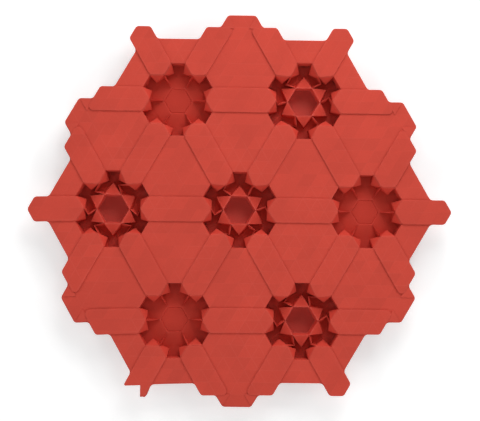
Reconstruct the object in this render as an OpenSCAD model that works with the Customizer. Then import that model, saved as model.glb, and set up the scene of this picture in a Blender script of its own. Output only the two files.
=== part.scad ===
// Folded paper tessellation: one hexagonal sheet pleated on a triangular grid.
// Seven sunken rosettes are joined by raised box pleats, with flat plates between them.
// Millimetres, +Z up. The sheet lies face up, on the floors of its four star rosettes.

/* [Sheet] */
// Side of one triangle of the folding grid
cell = 6.8; // [5:0.1:10]
// Thickness of the paper
paper = 0.25; // [0.15:0.05:0.35]
// Air between two layers of a pleat
layer_gap = 0.15; // [0.1:0.05:0.3]
// Width of the slit under a pleat, where its two folds meet
seam = 0.3; // [0.2:0.1:0.6]
// Radius of the worn corners of the outline and of the pleat ends
corner_r = 1.4; // [0.4:0.1:2]

/* [Rosettes] */
// Upright thickness of the folded skin inside a rosette
skin = 0.45; // [0.35:0.05:0.6]
// Depth of the ridges in a rosette where they meet a pleat end
ridge_depth = 0.8; // [0.4:0.1:1.5]
// Depth of the middle floor of a star rosette
star_hub_depth = 9.6; // [8:0.1:11]
// Depth of the raised rim round the middle of a star rosette
star_rim_depth = 3.4; // [2.5:0.1:4.5]
// Depth of the pits of a star rosette
star_pit_depth = 8; // [6.5:0.1:9]
// Depth of the middle floor of a flower rosette
flower_hub_depth = 7.2; // [6:0.1:8]
// Depth of the creased rim round the middle of a flower rosette
flower_rim_depth = 6.9; // [5.5:0.1:7.7]
// Depth of the petals of a flower rosette
flower_pit_depth = 7.6; // [6.5:0.1:8.5]

/* [Hidden] */

paper_red = [0.77, 0.29, 0.23];
arc_steps = 3;

// Height of one row of the grid
row = cell * sqrt(3) / 2;
// From a rosette to the next one
pitch = 9 * cell;
// Bearings of the outer rosettes of each kind, anticlockwise from +X
star_bearings = [60, 180, 300];
flower_bearings = [0, 120, 240];

// Levels of the flat layers
plate_top = max(star_hub_depth, star_pit_depth, flower_hub_depth, flower_pit_depth) + skin;
plate_low = plate_top - paper;
layer_pitch = paper + layer_gap;

// Width of the rim of a rosette's skin that is held in the sheet round it
flange = 0.6;
flange_top = plate_low + paper * 0.75;
flange_low = plate_low + paper * 0.25;

// Plan of a rosette in cells: its rim, its middle floor, the inner corners of its
// pits and the free tips of the facets that hang from the pleat ends
star_plan = [1.08, 0.8, [1.62, 0.04], [2.08, 0.32]];
flower_plan = [1, 0.94, [1.3, 0.38], [1.95, 0.33]];

function turned(p, bearing) = [
    p[0] * cos(bearing) - p[1] * sin(bearing),
    p[0] * sin(bearing) + p[1] * cos(bearing)
];

// A point given in cells along a row, and in rows up
function on_grid(p) = [p[0] * cell, p[1] * row];

function unit(v) = v / norm(v);

function turns_left(a, b, c) = cross(b - a, c - b) > 0;

// Arc in place of an outward corner b
function corner_arc(a, b, c, r) =
    let (
        back = unit(a - b),
        ahead = unit(c - b),
        half = acos(back * ahead) / 2,
        middle = b + unit(back + ahead) * r / sin(half),
        start = b + back * r / tan(half) - middle,
        sweep = 180 - 2 * half
    )
    [for (i = [0 : arc_steps]) middle + turned(start, sweep * i / arc_steps)];

// Anticlockwise outline with its outward corners rounded
function rounded(points, r) =
    let (n = len(points))
    [for (i = [0 : n - 1])
        let (a = points[(i + n - 1) % n], b = points[i], c = points[(i + 1) % n])
        each turns_left(a, b, c) ? corner_arc(a, b, c, r) : [b]];

// Anticlockwise outline with its sides moved inward
function shrunk(points, by) =
    let (n = len(points))
    [for (i = [0 : n - 1])
        let (
            a = points[(i + n - 1) % n],
            b = points[i],
            c = points[(i + 1) % n],
            back = unit(a - b),
            ahead = unit(c - b),
            half = acos(back * ahead) / 2,
            side = turns_left(a, b, c) ? 1 : -1
        )
        b + unit(back + ahead) * side * by / sin(half)];

// One side of the sheet, from a pleat's tip to the next one, in cells and rows
outline_side = [
    [7.5, 15], [6.5, 15], [6, 14], [3, 14], [2.5, 15], [1.5, 15], [1, 16],
    [-1, 16], [-1.5, 15], [-2.5, 15], [-3, 14], [-6, 14], [-6.5, 15]
];

// The split pleat tip at the lower left: what is gone from it, and its loose flap
split_gone = [[-9, -16], [-6.3, -16], [-6.85, -15], [-6.9, -14.45], [-9, -14.45]];
split_flap = [[-7.1, -14.2], [-6.95, -15.1], [-6.75, -15.4], [-6.45, -15.05], [-6.4, -14.3]];

module outline() {
    side = [for (p = outline_side) on_grid(p)];
    difference() {
        polygon(rounded([for (k = [0 : 5], p = side) turned(p, 60 * k)], corner_r));
        polygon([for (p = split_gone) on_grid(p)]);
    }
    polygon([for (p = split_flap) on_grid(p)]);
}

// The near end of a pleat and its three kinds of far end, in cells along and rows across.
// The last two run past the sheet's edge, which cuts them off.
near_end = [[2.5, 1], [2, 0], [2.5, -1]];
inner_end = [[6.5, -1], [7, 0], [6.5, 1]];
tip_end = [[7, -1], [7, 1]];
edge_end = [[7.5, -1], [6.5, 1]];

// A pleat seen from above, running from a rosette's middle along +X
module pleat(far_end, inset) {
    side = [for (p = concat(near_end, far_end)) on_grid(p)];
    polygon(rounded(shrunk(side, inset), corner_r - inset));
}

// Repeats its children for a pleat from the middle rosette, and for one round the ring
module at_inner_pleats() {
    for (k = [0 : 5]) {
        rotate(60 * k) children();
        rotate(60 * k) translate([pitch, 0]) rotate(120) children();
    }
}

// Repeats its children at each outer rosette, turned by the given bearing
module at_outer_rosettes(bearing = 0) {
    for (k = [0 : 5]) rotate(60 * k) translate([pitch, 0]) rotate(bearing) children();
}

module pleats(inset = 0) {
    intersection() {
        outline();
        union() {
            at_inner_pleats() pleat(inner_end, inset);
            at_outer_rosettes() pleat(tip_end, inset);
            at_outer_rosettes(60) pleat(edge_end, inset);
            at_outer_rosettes(-60) mirror([0, 1]) pleat(edge_end, inset);
        }
    }
}

// A strip along every pleat's axis, from inside its near end to inside or past its far end
module axis_strips(width, longer = 0) {
    start = 2.25 * cell - longer;
    inner_length = 4.5 * cell + 2 * longer;
    outer_length = 5.5 * cell + longer;
    at_inner_pleats() translate([start, -width / 2]) square([inner_length, width]);
    for (bearing = [-60, 0, 60])
        at_outer_rosettes(bearing) translate([start, -width / 2]) square([outer_length, width]);
}

// Opening of a rosette: plate edges, and between them the points of six pleats
function opening_points(grow = 0) = [
    for (k = [0 : 5])
        each [
            turned([2 * cell + grow, 0], 60 * k),
            turned([3 * row + grow, -cell / 2], 60 * k + 30),
            turned([3 * row + grow, cell / 2], 60 * k + 30)
        ]
];

module openings() {
    polygon(opening_points());
    at_outer_rosettes() polygon(opening_points());
}

module layer(level, thickness) {
    translate([0, 0, level]) linear_extrude(thickness) children();
}

// The sheet between the rosettes: plates, and box pleats of three layers
module flat_layers() {
    layer(plate_low, paper) difference() {
        outline();
        openings();
        axis_strips(seam);
    }
    // Folds round the slit, from the lowest layer to the middle one
    layer(plate_low + paper / 2, layer_pitch) difference() {
        intersection() {
            pleats();
            axis_strips(seam + 2 * paper, paper);
        }
        axis_strips(seam);
    }
    layer(plate_low + layer_pitch, paper) difference() {
        pleats();
        axis_strips(seam);
    }
    // Folds along a pleat's edges, from the middle layer to the top one
    layer(plate_low + layer_pitch + paper / 2, layer_pitch) difference() {
        pleats();
        pleats(paper);
    }
    layer(plate_low + 2 * layer_pitch, paper) pleats();
}

// Depth of the free tip of a facet: an even-sided triangle that hangs from a pleat's end
function tip_depth(tip) =
    let (run = norm(tip - [2.5 * row, 0.75 * cell]))
    sqrt(max(row * row - run * run, 0));

// Corners of one sixth of a rosette's skin, each with its upright thickness.
// The sixth runs from pleat axis k round to the next one.
function sixth_points(k, plan, hub_depth, rim_depth, pit_depth) =
    let (
        pit = plan[2] * cell,
        tip = plan[3] * cell,
        rim = opening_points(),
        out = opening_points(flange),
        pit_z = plate_top - pit_depth,
        tip_z = plate_top - tip_depth(tip),
        held = flange_top - flange_low
    )
    [
        [turned([plan[1] * cell, 0], 60 * k), plate_top - hub_depth, skin],
        [turned([plan[0] * cell, 0], 60 * k), plate_top - rim_depth, skin],
        [turned([pit[0], -pit[1]], 60 * k + 30), pit_z, skin],
        [turned(pit, 60 * k + 30), pit_z, skin],
        [turned([tip[0], -tip[1]], 60 * k + 30), tip_z, skin],
        [turned(tip, 60 * k + 30), tip_z, skin],
        [rim[3 * k], plate_top - ridge_depth, skin],
        [rim[3 * k + 1], flange_top, skin],
        [rim[3 * k + 2], flange_top, skin],
        [out[3 * k], flange_top, held],
        [out[3 * k + 1], flange_top, held],
        [out[3 * k + 2], flange_top, held]
    ];

// Facets of one sixth, anticlockwise from above.
// Corners: 0 floor, 1 rim, 2 and 3 pit, 4 and 5 facet tips, 6 pleat end,
// 7 and 8 plate edge, 9 to 11 flange, and from 12 on the same of the next sixth.
sixth_facets = [
    [0, 1, 13], [0, 13, 12],
    [1, 2, 3], [1, 3, 13],
    [2, 4, 5], [2, 5, 3],
    [1, 6, 4], [1, 4, 2],
    [13, 3, 5], [13, 5, 18],
    [6, 7, 4], [18, 5, 8],
    [7, 8, 5], [7, 5, 4],
    [6, 9, 10], [6, 10, 7],
    [7, 10, 11], [7, 11, 8],
    [8, 11, 21], [8, 21, 18]
];
sixth_border = [[9, 10], [10, 11], [11, 21]];

// A rosette's folded skin, a closed shell from its middle out to the flange
module rosette(plan, hub_depth, rim_depth, pit_depth) {
    corners = [for (k = [0 : 5]) each sixth_points(k, plan, hub_depth, rim_depth, pit_depth)];
    middle = [[0, 0], plate_top - hub_depth, skin];
    all = concat(corners, [middle]);
    upper = [for (c = all) [c[0][0], c[0][1], c[1]]];
    lower = [for (c = all) [c[0][0], c[0][1], c[1] - c[2]]];
    ring = len(corners);
    below = len(all);
    top_facets = [
        for (first = [0 : 12 : ring - 1])
            each concat(
                [[ring, first, (first + 12) % ring]],
                [for (f = sixth_facets) [for (i = f) (first + i) % ring]]
            )
    ];
    border = [for (first = [0 : 12 : ring - 1], b = sixth_border) [for (i = b) (first + i) % ring]];
    polyhedron(
        points = concat(upper, lower),
        faces = concat(
            [for (f = top_facets) [f[2], f[1], f[0]]],
            [for (f = top_facets) [f[0] + below, f[1] + below, f[2] + below]],
            [for (b = border) [b[0], b[1], b[1] + below]],
            [for (b = border) [b[0], b[1] + below, b[0] + below]]
        )
    );
}

module star_rosette() {
    rosette(star_plan, star_hub_depth, star_rim_depth, star_pit_depth);
}

module flower_rosette() {
    rosette(flower_plan, flower_hub_depth, flower_rim_depth, flower_pit_depth);
}

module folded_sheet() {
    color(paper_red) union() {
        flat_layers();
        star_rosette();
        for (bearing = star_bearings) rotate(bearing) translate([pitch, 0]) star_rosette();
        for (bearing = flower_bearings) rotate(bearing) translate([pitch, 0]) flower_rosette();
    }
}

folded_sheet();
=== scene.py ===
# Folded paper tessellation: the paper sheet with its worn folds, a pale floor, lamps and a camera.
# Sizes are in millimetres up to the mesh, which is in metres in the frame of the CAD model.
# Bearings are in degrees, anticlockwise from +X.
import math
import random
from functools import partial

import bpy
from mathutils import Euler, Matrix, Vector, noise
from mathutils.geometry import delaunay_2d_cdt


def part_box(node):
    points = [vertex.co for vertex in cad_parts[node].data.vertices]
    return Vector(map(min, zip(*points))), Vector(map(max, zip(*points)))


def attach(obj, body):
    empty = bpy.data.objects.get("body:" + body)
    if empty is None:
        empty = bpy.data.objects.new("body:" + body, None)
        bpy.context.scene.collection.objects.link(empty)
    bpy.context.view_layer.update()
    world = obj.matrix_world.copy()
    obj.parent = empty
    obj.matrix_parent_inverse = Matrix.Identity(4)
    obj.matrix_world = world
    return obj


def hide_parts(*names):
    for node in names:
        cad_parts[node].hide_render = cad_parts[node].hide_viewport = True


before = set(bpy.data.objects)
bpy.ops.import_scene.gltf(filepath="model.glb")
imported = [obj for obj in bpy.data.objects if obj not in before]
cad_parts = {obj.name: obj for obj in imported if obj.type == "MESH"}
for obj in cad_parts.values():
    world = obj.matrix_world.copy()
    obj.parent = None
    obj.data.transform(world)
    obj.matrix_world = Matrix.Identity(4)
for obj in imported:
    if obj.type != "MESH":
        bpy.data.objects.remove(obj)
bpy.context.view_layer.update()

MM = 0.001

# The folding grid and the paper, as in the CAD model
CELL = 6.8
ROW = CELL * math.sqrt(3) / 2
CELLS_APART = 9
PITCH = CELLS_APART * CELL
PAPER = 0.25
SEAM = 0.3
LID_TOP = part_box("folded_sheet")[1].z / MM
STAR_BEARINGS = (60, 180, 300)
FLOWER_BEARINGS = (0, 120, 240)

# Softer outline corners than in the CAD model: outward, inward, and the least radius at an inset
CORNER_R = 2.1
HOLLOW_R = 2.4
SMALLEST_R = 0.05
ARC_STEPS = 6
# The paper of the rosettes, thinner than the CAD model's shell
SKIN = 0.2
# A pleat's layers lie closer together than in the CAD model, as pressed paper does
PLATE_TOP = LID_TOP - 0.55
PLATE_LOW = PLATE_TOP - PAPER
LID_LOW = PLATE_TOP + 0.06
UNDERFOLD_TOP = LID_LOW + 0.05

# Where the plate's edge ends at an opening: out from the rosette's middle and sideways, in cells
STAR_EDGE = (2.71, 0.54)
FLOWER_EDGE = (2.598, 0.5)
# The pleat's end at a rosette: its shoulders and its point, in cells along the pleat
STAR_END = (2.57, 1.97)
FLOWER_END = (2.5, 2.0)
# How far each ridge of a star leans to the left, in degrees, for the middle rosette and for
# those at the bearings above. The ridges are in the order of the pleats, from +X round.
STAR_LEANS = ((20, 4, 23, 32, 19, 21), (29, -30, 38, 16, 33, 10),
              (-38, 47, 46, 33, -46, 46), (32, 37, 33, 36, 38, -15))
# How far the corners inside a rosette stray along x, y and z, in cells, and the draws' seeds
STRAY = (0.035, 0.02, 0.03)
STAR_SEED = 11
FLOWER_SEED = 31

# Rolled edges of the paper: (how far in, how far below the top)
LID_ROLL = ((0.04, LID_TOP - LID_LOW), (0, 0.34), (0, 0.2), (0.05, 0.08), (0.14, 0.02), (0.32, 0))
PLATE_ROLL = ((0, PAPER), (0, 0.13), (0.06, 0.04), (0.18, 0))
SLIT_ROLL = ((0, PAPER), (0, 0.1), (0.03, 0.05), (0.1, 0))
CORNER_ROLL = ((0, 0.24), (0, 0.1), (0.06, 0))
FLAP_ROLL = ((0, SKIN), (0, 0.06), (0.06, 0))
SQUARE_EDGE = ((0, PAPER), (0, 0))

# How much wear and a painted highlight lighten the edges of the plates, pleats, folded corners and
# flap, from 0 to 1
PLATE_WEAR_AND_HIGHLIGHT, LID_WEAR_AND_HIGHLIGHT, CORNER_WEAR_AND_HIGHLIGHT, FLAP_WEAR_AND_HIGHLIGHT = 0.2, 0.35, 0.3, 0.8

# The hand-folded sheet's slight waves: their depth, then each kind's length, place in the noise
# and share
WARP = 0.3
WAVE_LENGTH, WAVE_SLICE, WAVE_SHARE = 34, 3.7, 0.75
RIPPLE_LENGTH, RIPPLE_SLICE, RIPPLE_SHARE = 11, 8.1, 0.18

# The lower left corner is pulled down the picture: its bearing, how far out it lies, how far it
# is pulled, how sharply that grows, and the height over which it fades in from the flat side
PULL_BEARING, PULL_REACH, PULL, PULL_POWER, PULL_FADE = 222, 92, 2.1, 3.5, 8
# Rows from the sheet's middle to its flat side
SIDE_ROWS = 16

# The mesh: the step along edges and in the net between them, the net's distance from an edge,
# the rows of triangles in a facet, and the doubled area below which a triangle is left out
STEP = 2.3
NET_CLEAR = 0.9
SUBDIVISIONS = 5
SLIVER = 0.002
CDT_EPSILON = 1e-5
SAME_PLACE = 0.01
# A side with both ends this far off to a side is passed over. No side is twice as long.
FAR = 20
SHARP_ANGLE = 24


def clamped(x):
    return min(1, max(0, x))


def turned(p, bearing):
    c, s = math.cos(math.radians(bearing)), math.sin(math.radians(bearing))
    return (p[0] * c - p[1] * s, p[0] * s + p[1] * c)


def moved(p, by):
    return (p[0] + by[0], p[1] + by[1])


def on_grid(p):
    return (p[0] * CELL, p[1] * ROW)


def unit(p):
    n = math.hypot(*p)
    return (p[0] / n, p[1] / n)


def corners_of(points):
    """Every corner: its place, unit back, unit ahead, half angle, and 1 outward or -1 inward."""
    n = len(points)
    for i in range(n):
        a, b, c = points[i - 1], points[i], points[(i + 1) % n]
        back, ahead = unit((a[0] - b[0], a[1] - b[1])), unit((c[0] - b[0], c[1] - b[1]))
        half = math.acos(max(-1, min(1, back[0] * ahead[0] + back[1] * ahead[1]))) / 2
        side = 1 if back[1] * ahead[0] - back[0] * ahead[1] > 0 else -1
        yield b, back, ahead, half, side


def shrunk(points, by):
    """The loop moved into its material, which lies on its left."""
    out = []
    for b, back, ahead, half, side in corners_of(points):
        middle = unit(moved(back, ahead))
        k = side * by / math.sin(half)
        out.append((b[0] + middle[0] * k, b[1] + middle[1] * k))
    return out


def arc_at(corner, r):
    """The arc of radius r that takes the place of a corner, or the corner where r is 0."""
    b, back, ahead, half, side = corner
    if r <= 0:
        return [b]
    middle = unit(moved(back, ahead))
    centre = (b[0] + middle[0] * r / math.sin(half), b[1] + middle[1] * r / math.sin(half))
    start = (b[0] + back[0] * r / math.tan(half) - centre[0],
             b[1] + back[1] * r / math.tan(half) - centre[1])
    sweep = side * (180 - 2 * math.degrees(half))
    return [moved(centre, turned(start, sweep * i / ARC_STEPS)) for i in range(ARC_STEPS + 1)]


def turns_left(a, b, c):
    return (b[0] - a[0]) * (c[1] - b[1]) > (b[1] - a[1]) * (c[0] - b[0])


def crossings_left(p, loop):
    """How many sides of the loop a ray to the left of p crosses."""
    count = 0
    for a, b in zip(loop, loop[1:] + loop[:1]):
        if (a[1] > p[1]) != (b[1] > p[1]):
            count += a[0] + (p[1] - a[1]) * (b[0] - a[0]) / (b[1] - a[1]) < p[0]
    return count


def is_inside(p, loops):
    return sum(crossings_left(p, loop) for loop in loops) % 2 == 1


def distance_to_loop(p, loop):
    """The distance from p to the loop, or infinity where the loop is far off."""
    best = math.inf
    for a, b in zip(loop, loop[1:] + loop[:1]):
        if abs(a[0] - p[0]) > FAR and abs(b[0] - p[0]) > FAR:
            continue
        dx, dy = b[0] - a[0], b[1] - a[1]
        t = clamped(((p[0] - a[0]) * dx + (p[1] - a[1]) * dy) / (dx * dx + dy * dy))
        best = min(best, math.hypot(a[0] + t * dx - p[0], a[1] + t * dy - p[1]))
    return best


def inside_points(loops, step, clear):
    """Points of a triangular net inside the loops, clear of their sides."""
    out = []
    xs = [p[0] for loop in loops for p in loop]
    ys = [p[1] for loop in loops for p in loop]
    row, y = 0, min(ys)
    while y < max(ys):
        x = min(xs) + (row % 2) * step / 2
        while x < max(xs):
            p = (x, y)
            if is_inside(p, loops) and all(distance_to_loop(p, loop) > clear for loop in loops):
                out.append(p)
            x += step
        y += step * math.sqrt(3) / 2
        row += 1
    return out


def warp(x, y):
    """How far the hand-folded sheet lies below its highest level at a place."""
    wave = noise.noise(Vector((x / WAVE_LENGTH, y / WAVE_LENGTH, WAVE_SLICE)))
    ripple = noise.noise(Vector((x / RIPPLE_LENGTH, y / RIPPLE_LENGTH, RIPPLE_SLICE)))
    return -WARP * clamped(0.5 + WAVE_SHARE * wave + RIPPLE_SHARE * ripple)


def stretched(x, y):
    """Where the pull of the paper takes a point: the lower left corner hangs a little lower."""
    corner = turned((1, 0), PULL_BEARING)
    out = max(0, x * corner[0] + y * corner[1]) / PULL_REACH
    return x, y - PULL * out ** PULL_POWER * clamped((y + SIDE_ROWS * ROW) / PULL_FADE)


class Paper:
    """The sheet's vertices in millimetres, how much wear and a painted highlight lighten the fold
    at each one, and its faces.
    """

    def __init__(self):
        self.points, self.faces, self.fold = [], [], []

    def add(self, p, fold=0.0):
        self.points.append(p)
        self.fold.append(fold)
        return len(self.points) - 1

    def slab(self, loops, rolls, top, wear_and_highlight, inner_points=()):
        """A flat piece of paper with rolled edges.

        Each loop is a function that gives it at an inset, with its material on its left.
        Each roll starts at the underside, so its first drop is the paper's thickness.
        """
        rings = []
        for loop, roll in zip(loops, rolls):
            rings.append([
                [self.add((x, y, top - drop), wear_and_highlight if drop < roll[0][1] else 0)
                 for x, y in loop(inset)]
                for inset, drop in roll
            ])
            for low, high in zip(rings[-1], rings[-1][1:]):
                n = len(low)
                for i in range(n):
                    j = (i + 1) % n
                    self.faces.append((low[i], low[j], high[j], high[i]))
        thickness = rolls[0][0][1]
        for index, drop, up in ((-1, 0, True), (0, thickness, False)):
            edge = [r[index] for r in rings]
            inner = [self.add((x, y, top - drop)) for x, y in inner_points]
            self.fill(edge, inner, up)

    def fill(self, edge, inner, up):
        """Triangles between the rings of vertices in edge, through the vertices in inner."""
        ids = [i for ring in edge for i in ring] + inner
        flat = [Vector(self.points[i][:2]) for i in ids]
        sides, first = [], 0
        for ring in edge:
            n = len(ring)
            sides += [(first + i, first + (i + 1) % n) for i in range(n)]
            first += n
        loops = [[tuple(self.points[i][:2]) for i in ring] for ring in edge]
        spots, _, triangles, source, _, _ = delaunay_2d_cdt(flat, sides, [], 0, CDT_EPSILON)
        for t in triangles:
            a, b, c = (spots[i] for i in t)
            if (b - a).cross(c - a) >= SLIVER and is_inside((a + b + c) / 3, loops):
                f = [ids[source[i][0]] for i in t]
                self.faces.append(tuple(f if up else reversed(f)))

    def facet(self, cache, a, b, c, bulge, wear_and_highlight):
        """A triangle of folded paper. Its last argument tells how much wear and a painted highlight
        lighten its sides ab, bc and ca.
        """
        n = SUBDIVISIONS
        a, b, c = Vector(a), Vector(b), Vector(c)
        normal = (b - a).cross(c - a).normalized()
        grid = {}
        for i in range(n + 1):
            for j in range(n + 1 - i):
                u, v = i / n, j / n
                w = 1 - u - v
                # u * v * w is 1/27 in the middle, where the bulge is whole
                p = a * w + b * u + c * v + normal * (bulge * 27 * u * v * w)
                fold = max(wear_and_highlight[0] * (v < 1e-9), wear_and_highlight[1] * (w < 1e-9), wear_and_highlight[2] * (u < 1e-9))
                key = tuple(round(x, 4) for x in p)
                if key not in cache:
                    cache[key] = self.add(tuple(p), fold)
                k = cache[key]
                self.fold[k] = max(self.fold[k], fold)
                grid[i, j] = k
        for i in range(n):
            for j in range(n - i):
                self.faces.append((grid[i, j], grid[i + 1, j], grid[i, j + 1]))
                if i + j < n - 1:
                    self.faces.append((grid[i + 1, j], grid[i + 1, j + 1], grid[i, j + 1]))


def rosettes():
    """Every rosette: its middle, whether it is a star, its number among the stars or flowers."""
    yield (0, 0), True, 0
    for i, bearing in enumerate(STAR_BEARINGS):
        yield turned((PITCH, 0), bearing), True, 1 + i
    for i, bearing in enumerate(FLOWER_BEARINGS):
        yield turned((PITCH, 0), bearing), False, i


def opening_points(star):
    """Opening of a rosette: pleat ends, and between them the edges of the plates."""
    out, edge = [], STAR_EDGE if star else FLOWER_EDGE
    point = (STAR_END if star else FLOWER_END)[1]
    for k in range(6):
        out.append(turned((point * CELL, 0), 60 * k))
        out.append(turned((edge[0] * CELL, -edge[1] * CELL), 60 * k + 30))
        out.append(turned((edge[0] * CELL, edge[1] * CELL), 60 * k + 30))
    return out


# A sixth of the outline, and the outer ends of pleats, in cells and rows
OUTLINE_SIDE = ((7.5, 15), (6.5, 15), (6, 14), (3, 14), (2.5, 15), (1.5, 15), (1, 16),
                (-1, 16), (-1.5, 15), (-2.5, 15), (-3, 14), (-6, 14), (-6.5, 15))
TIP_END = ((5.5, -1), (6, 0), (5.5, 1))
EDGE_END = ((5.5, -1), (6.5, 1))
# A folded corner beside the end of a pleat that meets the sheet's flat side
FOLDED_CORNER = ((1.45, 14.9), (1.02, 15.96), (0.5, 14.9))
FOLDED_CORNER_R = 0.8
FOLDED_CORNER_TOP = PLATE_TOP + 0.26

# Where a pleat's slit starts, and ends between rosettes, at the edge and at the torn tip, in cells
SLIT_START = 2.25
SLIT_END = 6.75
EDGE_SLIT_END = 5.75
TORN_SLIT_END = 4.8

# What the torn tip at the lower left has in place of its point, in cells and rows
TORN_BEARING = 240
TORN_TIP = ((-6.8, -14.02), (-6.8, -15))
TORN_RADII = (0, 0.2)
TORN_AT = (-7.5, -15)
TORN_CORNER = (-8, -14)
TORN_CORNER_R = 0.7
# Its loose flap: corners, their radius, the net in it, and how it bends down from a row on
FLAP = ((-6.75, -13.6), (-6.72, -14.7), (-6.66, -15.05), (-6.5, -15.12), (-6.33, -14.85),
        (-6.12, -14.25), (-6.2, -13.6))
FLAP_R = 0.4
FLAP_STEP = 1.2
FLAP_NET_CLEAR = 0.4
FLAP_TOP = PLATE_LOW - 0.05
BEND_ROW, BEND, BEND_POWER = -14, 1.3, 1.5


def torn(points, radii):
    """The loop with the torn tip in place of the whole one."""
    out, out_radii = [], []
    for p, r in zip(points, radii):
        if math.dist(p, on_grid(TORN_AT)) < SAME_PLACE:
            out += [on_grid(q) for q in TORN_TIP]
            out_radii += TORN_RADII
        else:
            out.append(p)
            at_tear = math.dist(p, on_grid(TORN_CORNER)) < SAME_PLACE
            out_radii.append(TORN_CORNER_R if at_tear else r)
    return out, out_radii


def ring_maker(points, radii):
    """A function that gives the loop at an inset, always with the same number of points."""
    sides = [side for *_, side in corners_of(points)]
    counts = [max(1, math.ceil(math.dist(a, b) / STEP))
              for a, b in zip(points, points[1:] + points[:1])]

    def ring(inset):
        arcs = [arc_at(corner, max(SMALLEST_R, r - side * inset) if r > 0 else 0)
                for corner, r, side in zip(corners_of(shrunk(points, inset)), radii, sides)]
        out = []
        for arc, following, n in zip(arcs, arcs[1:] + arcs[:1], counts):
            a, b = arc[-1], following[0]
            out += arc
            out += [(a[0] + (b[0] - a[0]) * j / n, a[1] + (b[1] - a[1]) * j / n)
                    for j in range(1, n)]
        return out

    return ring


def end_at(star):
    """The far end of a pleat between two rosettes, at a star or at a flower."""
    shoulder, point = STAR_END if star else FLOWER_END
    return ((CELLS_APART - shoulder, -1), (CELLS_APART - point, 0), (CELLS_APART - shoulder, 1))


def pleat_places():
    """Every pleat: its corners, where it starts, its bearing, where its slit ends in cells."""
    found = []
    for k in range(6):
        bearing = 60 * k
        centre = turned((PITCH, 0), bearing)
        star = bearing in STAR_BEARINGS
        tip_reach = TORN_SLIT_END if bearing == TORN_BEARING else EDGE_SLIT_END
        found.append(((0, 0), True, bearing, end_at(star), False, SLIT_END))
        found.append((centre, star, bearing + 120, end_at(not star), False, SLIT_END))
        found.append((centre, star, bearing, TIP_END, False, tip_reach))
        found.append((centre, star, bearing + 60, EDGE_END, False, EDGE_SLIT_END))
        found.append((centre, star, bearing - 60, EDGE_END, True, EDGE_SLIT_END))
    for centre, star, bearing, end, flipped, reach in found:
        shoulder, point = STAR_END if star else FLOWER_END
        local = [on_grid(p) for p in ((shoulder, 1), (point, 0), (shoulder, -1)) + end]
        if flipped:
            local = [(x, -y) for x, y in reversed(local)]
        yield [moved(turned(p, bearing), centre) for p in local], centre, bearing, reach


def strip(centre, bearing, reach, low, high):
    """A strip along a pleat's slit, between two distances to the left of the pleat's axis."""
    box = [(SLIT_START * CELL, low), (reach * CELL, low),
           (reach * CELL, high), (SLIT_START * CELL, high)]
    return [moved(turned(p, bearing), centre) for p in box]


def add_plates(paper):
    """The plates as one piece, with the openings of the rosettes and the pleats' slits."""
    outline = [turned(on_grid(p), 60 * k) for k in range(6) for p in OUTLINE_SIDE]
    radii = [CORNER_R if side > 0 else HOLLOW_R for *_, side in corners_of(outline)]
    outline, radii = torn(outline, radii)
    plain, loops, rolls = [outline], [ring_maker(outline, radii)], [PLATE_ROLL]
    holes = [([moved(p, centre) for p in reversed(opening_points(star))], PLATE_ROLL)
             for centre, star, _ in rosettes()]
    holes += [(strip(*place, SEAM / 2, -SEAM / 2), SLIT_ROLL) for _, *place in pleat_places()]
    for hole, roll in holes:
        plain.append(hole)
        loops.append(ring_maker(hole, [0] * len(hole)))
        rolls.append(roll)
    paper.slab(loops, rolls, PLATE_TOP, PLATE_WEAR_AND_HIGHLIGHT, inside_points(plain, STEP, NET_CLEAR))


def add_pleats(paper):
    """The pleats that lie on the plates, each with the two folds along its slit."""
    for points, *place in pleat_places():
        points, radii = torn(points, [CORNER_R] * len(points))
        net = inside_points([points], STEP, NET_CLEAR)
        paper.slab([ring_maker(points, radii)], [LID_ROLL], LID_TOP, LID_WEAR_AND_HIGHLIGHT, net)
        for low, high in ((SEAM / 2, SEAM / 2 + PAPER), (-SEAM / 2 - PAPER, -SEAM / 2)):
            fold = ring_maker(strip(*place, low, high), [0] * 4)
            paper.slab([fold], [SQUARE_EDGE], UNDERFOLD_TOP, 0)


def add_folded_corners(paper):
    for k in range(6):
        for flip in (1, -1):
            points = [turned(on_grid((flip * x, y)), 60 * k) for x, y in FOLDED_CORNER]
            if not turns_left(*points):
                points.reverse()
            ring = ring_maker(points, [0, FOLDED_CORNER_R, 0])
            paper.slab([ring], [CORNER_ROLL], FOLDED_CORNER_TOP, CORNER_WEAR_AND_HIGHLIGHT)


def add_flap(paper):
    """The loose flap at the torn tip. It bends down a little."""
    points = [on_grid(p) for p in FLAP]
    first = len(paper.points)
    net = inside_points([points], FLAP_STEP, FLAP_NET_CLEAR)
    ring = ring_maker(points, [FLAP_R] * len(points))
    paper.slab([ring], [FLAP_ROLL], FLAP_TOP, FLAP_WEAR_AND_HIGHLIGHT, net)
    for i in range(first, len(paper.points)):
        x, y, z = paper.points[i]
        droop = max(0, (BEND_ROW * ROW - y) / ROW)
        paper.points[i] = (x, y, z - BEND * droop ** BEND_POWER)


# The next functions place the corners in a sixth of a rosette. A name that ends in a belongs to
# the side of one pleat, and in b to the side of the next one. In every rosette:
#   O the middle, S a pleat's point and P its foot, E the end of a plate's edge and N its foot,
#   T the free corner of the facet that hangs from S and E, and U its foot.
# In a star: F a corner of the sunken middle, R and L the inner and outer end of a ridge with
#   their feet K and M, G the free corner of the facet outside the rim with its foot H,
#   V a place on the pit's floor, and Z the foot of the middle of the plate's edge.
# In a flower: H, Q and C the corners of the middle and of the fold round it, and M a place in
#   the middle of the sixth's floor.


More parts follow.
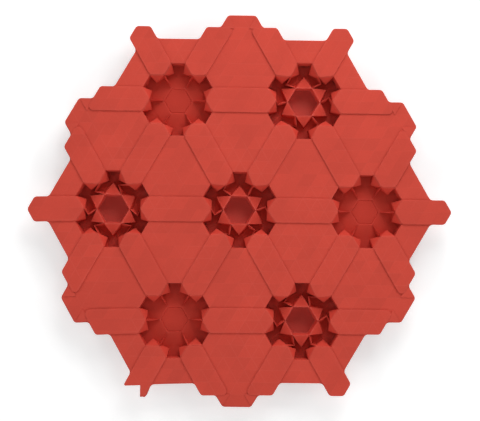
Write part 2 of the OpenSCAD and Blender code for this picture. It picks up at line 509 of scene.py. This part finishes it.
def star_half(lean, shift_r, shift_l, shift_t):
    """Corners of the half of a star's sixth that lies left of its pleat, in cells.

    Most are first placed along the pleat and to its left, then turned into the sixth's frame.
    """
    def at(d, s, z):
        return (*turned((d, s), -30), z)

    def toward(a, b):
        return math.degrees(math.atan2(b[1] - a[1], b[0] - a[0]))

    rim = (1.16 + shift_r[0], shift_r[1])
    end = moved(rim, turned((0.74, 0), lean))
    foot = (1.97, 0.12)
    inward = (toward(end, foot) + (lean + 180)) / 2
    wedge = (lean + toward(rim, turned((1.76, 0), 30))) / 2
    return {
        "R": at(*rim, -0.5 + shift_r[2]),
        "L": at(*end, -0.42 + shift_l[2]),
        "S": at(STAR_END[1] + 0.03, 0, -0.02),
        "K": at(*moved(rim, turned((0.24, 0), wedge)), -0.98),
        "M": at(*moved(end, turned((0.09, 0), inward)), -1.05),
        "P": at(*foot, -1.02),
        "T": (2.05 + shift_t[0], -0.36 + shift_t[1], -0.73 + shift_t[2]),
        "U": (2.03 + shift_t[0], -0.33 + shift_t[1], -1.12),
        "V": (2.03, -0.1, -1.12),
        "E": (STAR_EDGE[0] - 0.013, 0.01 - STAR_EDGE[1], -0.01),
        "N": (2.64, -0.46, -1.2),
    }


def star_sixth(k, jitter, leans):
    """Corners of one sixth of a star rosette by name, in cells, with depths below the plates."""
    hub = (SKIN + 0.02 - PLATE_TOP) / CELL
    dx, dy, dz = jitter("G", k)
    # the middle's floor lies a little to one side
    aside = turned((-0.05, 0.03), -60 * k - 30)
    p = {"O": (*aside, hub), "G": (1.82 + 2.5 * dx, dy, -0.68 + dz),
         "H": (1.88 + 2.5 * dx, dy, -1.12), "Z": (2.64, 0, -1.2)}
    for mirror, name in ((1, "a"), (-1, "b")):
        axis = k if mirror > 0 else (k + 1) % 6
        shifts = [(x, y * mirror, z) for x, y, z in
                  (jitter("R", axis), jitter("L", axis), jitter("T" + name, k))]
        for key, (x, y, z) in star_half(leans[axis] * mirror, *shifts).items():
            p[key + name] = (x, y * mirror, z)
        p["F" + name] = (*moved(turned((1.05, 0), -30 * mirror), aside), hub)
    return p


def flower_sixth(k, jitter):
    """Corners of one sixth of a flower rosette by name, in cells, with depths below the plates."""
    p = {}
    for side, name in ((-1, "a"), (1, "b")):
        axis = k if side < 0 else (k + 1) % 6
        bearing = 30 * side
        dx, dy, _ = jitter("H", axis)
        for key, d, z in (("H", 0.92, -1.06), ("Q", 0.97, -1.09), ("C", 1.02, -1.03)):
            p[key + name] = (*turned((d + dx, dy), bearing), z)
        dx, dy, dz = jitter("S", axis)
        p["S" + name] = (*turned((2.03 + dx, dy), bearing), -0.02 + dz)
        p["P" + name] = (*turned((1.95, -side * 0.1), bearing), -1.05)
        dx, dy, dz = jitter("T" + name, k)
        p["T" + name] = (1.95 + dx, side * 0.33 + dy, -0.73 + dz)
        p["U" + name] = (2.02 + dx, side * 0.36 + dy, -1.1)
        p["E" + name] = (2.585, side * 0.49, -0.01)
        p["N" + name] = (2.55, side * 0.46, -1.12)
    dx, dy, dz = jitter("M", k)
    p["M"] = (1.75 + dx, dy, -1.06 + dz)
    p["O"] = (0, 0, -1.06)
    return p


def both_halves(facets):
    """The facets of a half, and the same facets seen in a mirror."""
    swap = str.maketrans("ab", "ba")
    mirrored = []
    for corners, bulge, (first, second, third) in facets:
        a, b, c = corners.translate(swap).split()
        mirrored.append((f"{a} {c} {b}", bulge, (third, second, first)))
    return facets + tuple(mirrored)


# Corners of each facet, its bulge, and how much wear and a painted highlight lighten its three
# sides
STAR_HALF = (
    ("Ra Ka G", 0, (0, 0, 0.4)), ("G Ka H", 0, (0, 0, 0)),
    ("Ra La Ka", 0.04, (1, 0, 0)), ("Ka La Ma", 0, (0, 0, 0)),
    ("La Sa Pa", 0, (0.2, 0, 0)), ("La Pa Ma", 0, (0, 0, 0)),
    ("Sa Ea Ta", 0.12, (0.4, 0.2, 0.3)),
    ("Sa Ta Ua", 0, (0.3, 0, 0)), ("Sa Ua Pa", 0, (0, 0, 0)),
    ("Ea Na Ta", 0, (0, 0, 0.2)), ("Ta Na Ua", 0, (0, 0, 0)),
    ("Va Ka Ma", 0, (0, 0, 0)), ("Va Ma Pa", 0, (0, 0, 0)), ("Va Pa Ua", 0, (0, 0, 0)),
    ("Va Ua Na", 0, (0, 0, 0)), ("Va Na Z", 0, (0, 0, 0)), ("Va Z H", 0, (0, 0, 0)),
    ("Va H Ka", 0, (0, 0, 0)),
)
STAR_FACETS = (
    ("O Fa Fb", 0, (0, 0.1, 0)),
    ("Fa Ra Rb", 0, (0, 0.6, 0)), ("Fa Rb Fb", 0, (0, 0, 0)),
    ("Ra G Rb", -0.12, (0.4, 0.4, 0.8)),
    ("Ea Eb Nb", 0, (0.3, 0, 0)), ("Ea Nb Na", 0, (0, 0, 0)), ("Na Nb Z", 0, (0, 0, 0)),
) + both_halves(STAR_HALF)
FLOWER_HALF = (
    ("Ca Pa M", 0, (0, 0, 0)), ("Pa Ua M", 0, (0, 0, 0)), ("Ua Na M", 0, (0, 0, 0)),
    ("Ca Sa Pa", 0.05, (0.7, 0, 0)),
    ("Sa Ta Pa", 0, (0.3, 0, 0)), ("Ta Ua Pa", 0, (0, 0, 0)),
    ("Sa Ea Ta", 0.12, (0.4, 0.2, 0.3)),
    ("Ea Na Ta", 0, (0, 0, 0.2)), ("Ta Na Ua", 0, (0, 0, 0)),
)
FLOWER_FACETS = (
    ("O Ha Hb", 0.06, (0, 0.3, 0)),
    ("Ha Qa Qb", 0, (0, 0, 0)), ("Ha Qb Hb", 0, (0, 0, 0.3)),
    ("Qa Ca Cb", 0, (0, 0.4, 0)), ("Qa Cb Qb", 0, (0, 0, 0)),
    ("Ca M Cb", 0, (0, 0, 0.4)), ("Na Nb M", 0, (0, 0, 0)),
    ("Ea Eb Nb", 0, (0.6, 0, 0)), ("Ea Nb Na", 0, (0, 0, 0)),
) + both_halves(FLOWER_HALF)


def rosette(centre, sixth, facets, seed):
    """The folded paper inside a rosette, as a surface without thickness."""
    made, cache, shifts = Paper(), {}, {}
    rng = random.Random(seed)

    def jitter(key, k):
        """How far the corner named key strays at pleat or sixth k, the same at every call."""
        if (key, k) not in shifts:
            shifts[key, k] = [rng.uniform(-1, 1) * s for s in STRAY]
        return shifts[key, k]

    for k in range(6):
        place = {}
        for name, (x, y, z) in sixth(k, jitter).items():
            at = moved(turned((x * CELL, y * CELL), 60 * k + 30), centre)
            place[name] = (*at, PLATE_TOP + z * CELL)
        for corners, bulge, wear_and_highlight in facets:
            made.facet(cache, *[place[c] for c in corners.split()], bulge, wear_and_highlight)
    return made


def object_from(paper, name):
    """An object of the paper, waved and stretched. The waves fade out toward the floor."""
    mesh = bpy.data.meshes.new(name)
    points = []
    for x, y, z in paper.points:
        z += warp(x, y) * clamped(z / PLATE_LOW)
        x, y = stretched(x, y)
        points.append((x * MM, y * MM, z * MM))
    mesh.from_pydata(points, [], paper.faces)
    mesh.attributes.new("fold", "FLOAT", "POINT").data.foreach_set("value", paper.fold)
    made = bpy.data.objects.new(name, mesh)
    bpy.context.scene.collection.objects.link(made)
    return made


def thicken(made):
    """Gives the object's surface its thickness, below it, and applies that."""
    thick = made.modifiers.new("thickness", "SOLIDIFY")
    thick.thickness, thick.offset = SKIN * MM, -1
    graph = bpy.context.evaluated_depsgraph_get()
    mesh = bpy.data.meshes.new_from_object(made.evaluated_get(graph))
    made.modifiers.clear()
    made.data = mesh


def folded_sheet():
    """The whole sheet as one object."""
    flat = Paper()
    add_plates(flat)
    add_pleats(flat)
    add_folded_corners(flat)
    add_flap(flat)
    made = object_from(flat, "folded_sheet_paper")
    parts = [made]
    for centre, star, i in rosettes():
        if star:
            sixth = partial(star_sixth, leans=STAR_LEANS[i])
            skin = rosette(centre, sixth, STAR_FACETS, STAR_SEED + i)
        else:
            skin = rosette(centre, flower_sixth, FLOWER_FACETS, FLOWER_SEED + i)
        parts.append(object_from(skin, "rosette"))
        thicken(parts[-1])
    with bpy.context.temp_override(
        active_object=made, object=made, selected_objects=parts, selected_editable_objects=parts,
    ):
        bpy.ops.object.join()
    made.data.polygons.foreach_set("use_smooth", [True] * len(made.data.polygons))
    made.data.set_sharp_from_angle(angle=math.radians(SHARP_ANGLE))
    return made


class Nodes:
    """Adds nodes to a material and links them."""

    def __init__(self, tree):
        self.tree = tree
        tree.nodes.clear()

    def put(self, socket, value):
        """Links the socket where the value is a socket too, and sets it otherwise."""
        if isinstance(value, bpy.types.NodeSocket):
            self.tree.links.new(value, socket)
        else:
            socket.default_value = value

    def node(self, kind, inputs=None, **settings):
        made = self.tree.nodes.new(kind)
        for name, value in settings.items():
            setattr(made, name, value)
        for name, value in (inputs or {}).items():
            self.put(made.inputs[name], value)
        return made

    def math(self, operation, a, b=0.0):
        return self.node("ShaderNodeMath", {0: a, 1: b}, operation=operation).outputs[0]

    def vector(self, operation, a, b, output="Vector"):
        made = self.node("ShaderNodeVectorMath", {0: a, 1: b}, operation=operation)
        return made.outputs[output]

    def ramp(self, value, low, high, to_low=0.0, to_high=1.0):
        inputs = {"Value": value, "From Min": low, "From Max": high,
                  "To Min": to_low, "To Max": to_high}
        return self.node("ShaderNodeMapRange", inputs).outputs["Result"]

    def noise(self, at, size_mm, detail=2.0, rough=0.5, output=0):
        inputs = {"Vector": at, "Scale": 1 / (size_mm * MM), "Detail": detail, "Roughness": rough}
        return self.node("ShaderNodeTexNoise", inputs).outputs[output]

    def blend(self, factor, a, b, kind="MIX"):
        made = self.node("ShaderNodeMix", data_type="RGBA", blend_type=kind)
        for socket, value in (("Factor_Float", factor), ("A_Color", a), ("B_Color", b)):
            self.put(next(s for s in made.inputs if s.identifier == socket), value)
        return next(s for s in made.outputs if s.identifier == "Result_Color")

    def surface(self, shader):
        self.node("ShaderNodeOutputMaterial", {"Surface": shader.outputs[0]})


def linear(r, g, b):
    """Scene colour of an sRGB colour given in 0 to 255."""
    out = [c / 255 for c in (r, g, b)]
    return (*[c / 12.92 if c <= 0.04045 else ((c + 0.055) / 1.055) ** 2.4 for c in out], 1.0)


# The paper's reds: on its top, painted shade in the recesses, painted light at their bottom, in
# creases, and wear with a painted highlight on folds
RED_TOP = linear(203, 70, 55)
RED_RECESS_PAINTED_SHADE = linear(205, 62, 47)
RED_BOTTOM_PAINTED_LIGHT = linear(216, 92, 80)
RED_CREASE = linear(222, 118, 104)
RED_WEAR_AND_HIGHLIGHT = linear(224, 128, 116)
ROUGHNESS, SPECULAR = 0.82, 0.25
# Heights between which the recesses' painted shade turns into the top, and into the painted light
# at their bottom
TOP_FROM, TOP_TO = PLATE_TOP - 1.2, PLATE_TOP - 0.5
BOTTOM_FROM, BOTTOM_TO = PLATE_TOP - 7.3, PLATE_TOP - 9
# Sizes of the paper's fibres, clouds, scuffs and dents, and how much longer than wide a fibre is
FIBRE, CLOUD, SCUFF, DENT = 0.55, 16, 2.6, 3.5
FIBRE_LENGTH = 2.2
# The part of the noise that is used, and the tones it gives, from the darkest to the lightest
NOISE_RANGE = (0.3, 0.7)
FIBRE_TONES = (0.95, 1.05)
CLOUD_TONES = (0.955, 1.03)
PATCH_TONES = (0.955, 1.035)
# Creases of the grid: half their width in rows, how far and in what lengths they wander, the
# size and noise of their strong stretches, how strong the rest is, and their share of colour
CREASE_WIDTH, WANDER, WANDER_LENGTH = 0.05, 0.35, 9
STRONG_LENGTH, STRONG_LENGTH_STEP, STRONG_RANGE, FAINT = 14, 3, (0.42, 0.62), 0.05
CREASE_SHARE = 0.1
# Folds lightened by wear and a painted highlight: how fast that fades, the noise and least of its
# scuffs, its share of colour
WEAR_AND_HIGHLIGHT_POWER, SCUFF_RANGE, LEAST_WEAR_AND_HIGHLIGHT, WEAR_AND_HIGHLIGHT_SHARE = 2.4, (0.35, 0.6), 0.35, 0.42
# Heights of the paper's grain, and the strength of its relief
FIBRE_RISE, DENT_RISE, CREASE_RISE, RELIEF = 0.018, 0.03, 0.012, 0.7


def rows_across(n, at, bearing):
    """How many rows of the folding grid a place lies to the left of the line at a bearing."""
    along = n.vector("DOT_PRODUCT", at, (*turned((0, 1), bearing), 0), "Value")
    return n.math("MULTIPLY", along, 1 / (ROW * MM))


def crease_lines(n, at):
    """Faint creases of the folding grid: 1 on a line, 0 off it."""
    bent = n.vector("SUBTRACT", n.noise(at, WANDER_LENGTH, 1.0, output="Color"), (0.5, 0.5, 0.5))
    bent = n.vector("ADD", at, n.vector("MULTIPLY", bent, (WANDER * MM,) * 3))
    total = None
    for i, bearing in enumerate((0, 60, 120)):
        off = n.math("PINGPONG", rows_across(n, bent, bearing), 0.5)
        line = n.ramp(off, 0.0, CREASE_WIDTH, 1.0, 0.0)
        places = n.noise(at, STRONG_LENGTH + STRONG_LENGTH_STEP * i)
        line = n.math("MULTIPLY", line, n.ramp(places, *STRONG_RANGE, FAINT, 1.0))
        total = line if total is None else n.math("MAXIMUM", total, line)
    return total


def patch_tone(n, at):
    """A random value from 0 to 1 for each parallelogram of the folding grid."""
    x, y = (n.math("FLOOR", rows_across(n, at, bearing)) for bearing in (0, 60))
    spot = n.node("ShaderNodeCombineXYZ", {"X": x, "Y": y, "Z": 0.0}).outputs[0]
    made = n.node("ShaderNodeTexWhiteNoise", {"Vector": spot}, noise_dimensions="3D")
    return made.outputs["Value"]


def paper_material():
    made = bpy.data.materials.new("red_paper_folded")
    made.use_nodes = True
    n = Nodes(made.node_tree)
    at = n.node("ShaderNodeTexCoord").outputs["Object"]
    height = n.node("ShaderNodeSeparateXYZ", {0: at}).outputs["Z"]
    # The first ramp is 1 on the sheet's top and 0 in the recesses, which get painted shade; the
    # second marks the recesses' bottom, which gets painted light
    on_top = n.ramp(height, TOP_FROM * MM, TOP_TO * MM)
    deep_painted_light = n.ramp(height, BOTTOM_FROM * MM, BOTTOM_TO * MM)

    fibre_at = n.node("ShaderNodeMapping", {"Vector": at, "Scale": (1, FIBRE_LENGTH, 1)}).outputs[0]
    fibres = n.noise(fibre_at, FIBRE, 4, 0.65)
    patches = n.math("MULTIPLY", patch_tone(n, at), on_top)
    creases = n.math("MULTIPLY", crease_lines(n, at), on_top)
    # Wear and a painted highlight lighten the folds; on the ridges' top lines it is mostly painted
    # highlight
    fold = n.node("ShaderNodeAttribute", attribute_name="fold").outputs["Fac"]
    scuffs = n.ramp(n.noise(at, SCUFF, 3), *SCUFF_RANGE, LEAST_WEAR_AND_HIGHLIGHT, 1.0)
    wear_and_highlight = n.math("MULTIPLY", n.math("POWER", fold, WEAR_AND_HIGHLIGHT_POWER), scuffs)

    tone = n.ramp(fibres, *NOISE_RANGE, *FIBRE_TONES)
    tone = n.math("MULTIPLY", tone, n.ramp(n.noise(at, CLOUD, 2), *NOISE_RANGE, *CLOUD_TONES))
    tone = n.math("MULTIPLY", tone, n.ramp(patches, 0, 1, *PATCH_TONES))
    grey = n.node("ShaderNodeCombineColor", {"Red": tone, "Green": tone, "Blue": tone}).outputs[0]
    # Painted shade: a deeper red in the recesses stands in for red light bounced there; painted
    # light: a lighter red at their bottom
    red = n.blend(on_top, n.blend(deep_painted_light, RED_RECESS_PAINTED_SHADE, RED_BOTTOM_PAINTED_LIGHT), RED_TOP)
    red = n.blend(1.0, red, grey, "MULTIPLY")
    red = n.blend(n.math("MULTIPLY", creases, CREASE_SHARE), red, RED_CREASE)
    red = n.blend(n.math("MULTIPLY", wear_and_highlight, WEAR_AND_HIGHLIGHT_SHARE), red, RED_WEAR_AND_HIGHLIGHT)

    rise = n.math("MULTIPLY", fibres, FIBRE_RISE * MM)
    rise = n.math("ADD", rise, n.math("MULTIPLY", n.noise(at, DENT, 2), DENT_RISE * MM))
    rise = n.math("ADD", rise, n.math("MULTIPLY", creases, CREASE_RISE * MM))
    bump = n.node("ShaderNodeBump", {"Height": rise, "Strength": RELIEF, "Distance": 1.0})
    n.surface(n.node(
        "ShaderNodeBsdfPrincipled",
        {"Base Color": red, "Roughness": ROUGHNESS, "Specular IOR Level": SPECULAR,
         "Normal": bump.outputs[0]},
    ))
    return made


# The floor's half width in metres, its tone and its glow to the camera, and the world's strength
FLOOR_HALF, FLOOR_TONE, FLOOR_GLOW = 1.5, 0.86, 0.4
WORLD_STRENGTH = 0.28
WHITE = (1, 1, 1, 1)
# Round lamps that face the sheet: bearing, degrees above the floor, metres away, watts
LAMP_SIZE = 0.3
LAMPS = (
    (90, 26, 1.4, 1.3), (135, 26, 1.4, 1.8), (45, 26, 1.4, 1.8), (180, 26, 1.4, 2.35),
    (0, 26, 1.4, 2.35), (225, 26, 1.4, 2.6), (315, 26, 1.4, 2.6), (270, 26, 1.4, 3.2),
    (72, 31, 0.48, 1.25),
)
# The camera: lens and sensor in millimetres, the width that the picture spans at the plates in
# metres, the tilt and roll in degrees, the place in metres, and how near and far it sees
LENS, SENSOR = 85, 36
VIEW_WIDTH, TILT, ROLL = 0.2307, 2.3, 0.8
AIM = (0.0006, -0.0003)
CLIP_START, CLIP_END = 0.01, 10


def floor_material():
    """Matte white that reads as white to the camera, and keeps the shadow on it."""
    made = bpy.data.materials.new("white_floor")
    made.use_nodes = True
    n = Nodes(made.node_tree)
    path = n.node("ShaderNodeLightPath").outputs
    seen = n.math("MAXIMUM", path["Is Camera Ray"], path["Is Glossy Ray"])
    seen = n.math("MAXIMUM", seen, path["Is Transmission Ray"])
    tone = (FLOOR_TONE, FLOOR_TONE, FLOOR_TONE, 1)
    base = n.node("ShaderNodeBsdfDiffuse", {"Color": tone, "Roughness": 1.0})
    strength = n.math("MULTIPLY", seen, FLOOR_GLOW)
    glow = n.node("ShaderNodeEmission", {"Color": WHITE, "Strength": strength})
    n.surface(n.node("ShaderNodeAddShader", {0: base.outputs[0], 1: glow.outputs[0]}))
    return made


def studio():
    """A white floor, soft lamps round the sheet and a pale world."""
    h = FLOOR_HALF
    mesh = bpy.data.meshes.new("floor")
    mesh.from_pydata([(-h, -h, 0), (h, -h, 0), (h, h, 0), (-h, h, 0)], [], [(0, 1, 2, 3)])
    floor = bpy.data.objects.new("floor", mesh)
    floor.data.materials.append(floor_material())
    bpy.context.scene.collection.objects.link(floor)

    world = bpy.data.worlds.new("studio")
    bpy.context.scene.world = world
    world.use_nodes = True
    background = world.node_tree.nodes["Background"].inputs
    background["Color"].default_value = WHITE
    background["Strength"].default_value = WORLD_STRENGTH

    for i, (bearing, elevation, distance, power) in enumerate(LAMPS):
        rise = math.radians(elevation)
        lamp = bpy.data.lights.new(f"lamp_{i}", "AREA")
        lamp.shape, lamp.size, lamp.energy = "DISK", LAMP_SIZE, power
        made = bpy.data.objects.new(f"lamp_{i}", lamp)
        direction = Vector((*turned((math.cos(rise), 0), bearing), math.sin(rise)))
        made.location = direction * distance
        made.rotation_euler = (-made.location).to_track_quat("-Z", "Y").to_euler()
        bpy.context.scene.collection.objects.link(made)


def camera():
    """Looks down at the sheet, almost straight, as the photograph does."""
    made = bpy.data.objects.new("camera", bpy.data.cameras.new("camera"))
    made.data.lens, made.data.sensor_width = LENS, SENSOR
    tilt, distance = math.radians(TILT), VIEW_WIDTH * LENS / SENSOR
    made.location = (AIM[0], AIM[1] - distance * math.sin(tilt),
                     PLATE_TOP * MM + distance * math.cos(tilt))
    made.rotation_euler = Euler((tilt, 0, math.radians(ROLL)))
    made.data.clip_start, made.data.clip_end = CLIP_START, CLIP_END
    bpy.context.scene.collection.objects.link(made)
    bpy.context.scene.camera = made


sheet = folded_sheet()
sheet.data.materials.clear()
sheet.data.materials.append(paper_material())
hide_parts("folded_sheet")
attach(sheet, "root")
studio()
camera()
bpy.context.scene.view_settings.view_transform = "Standard"
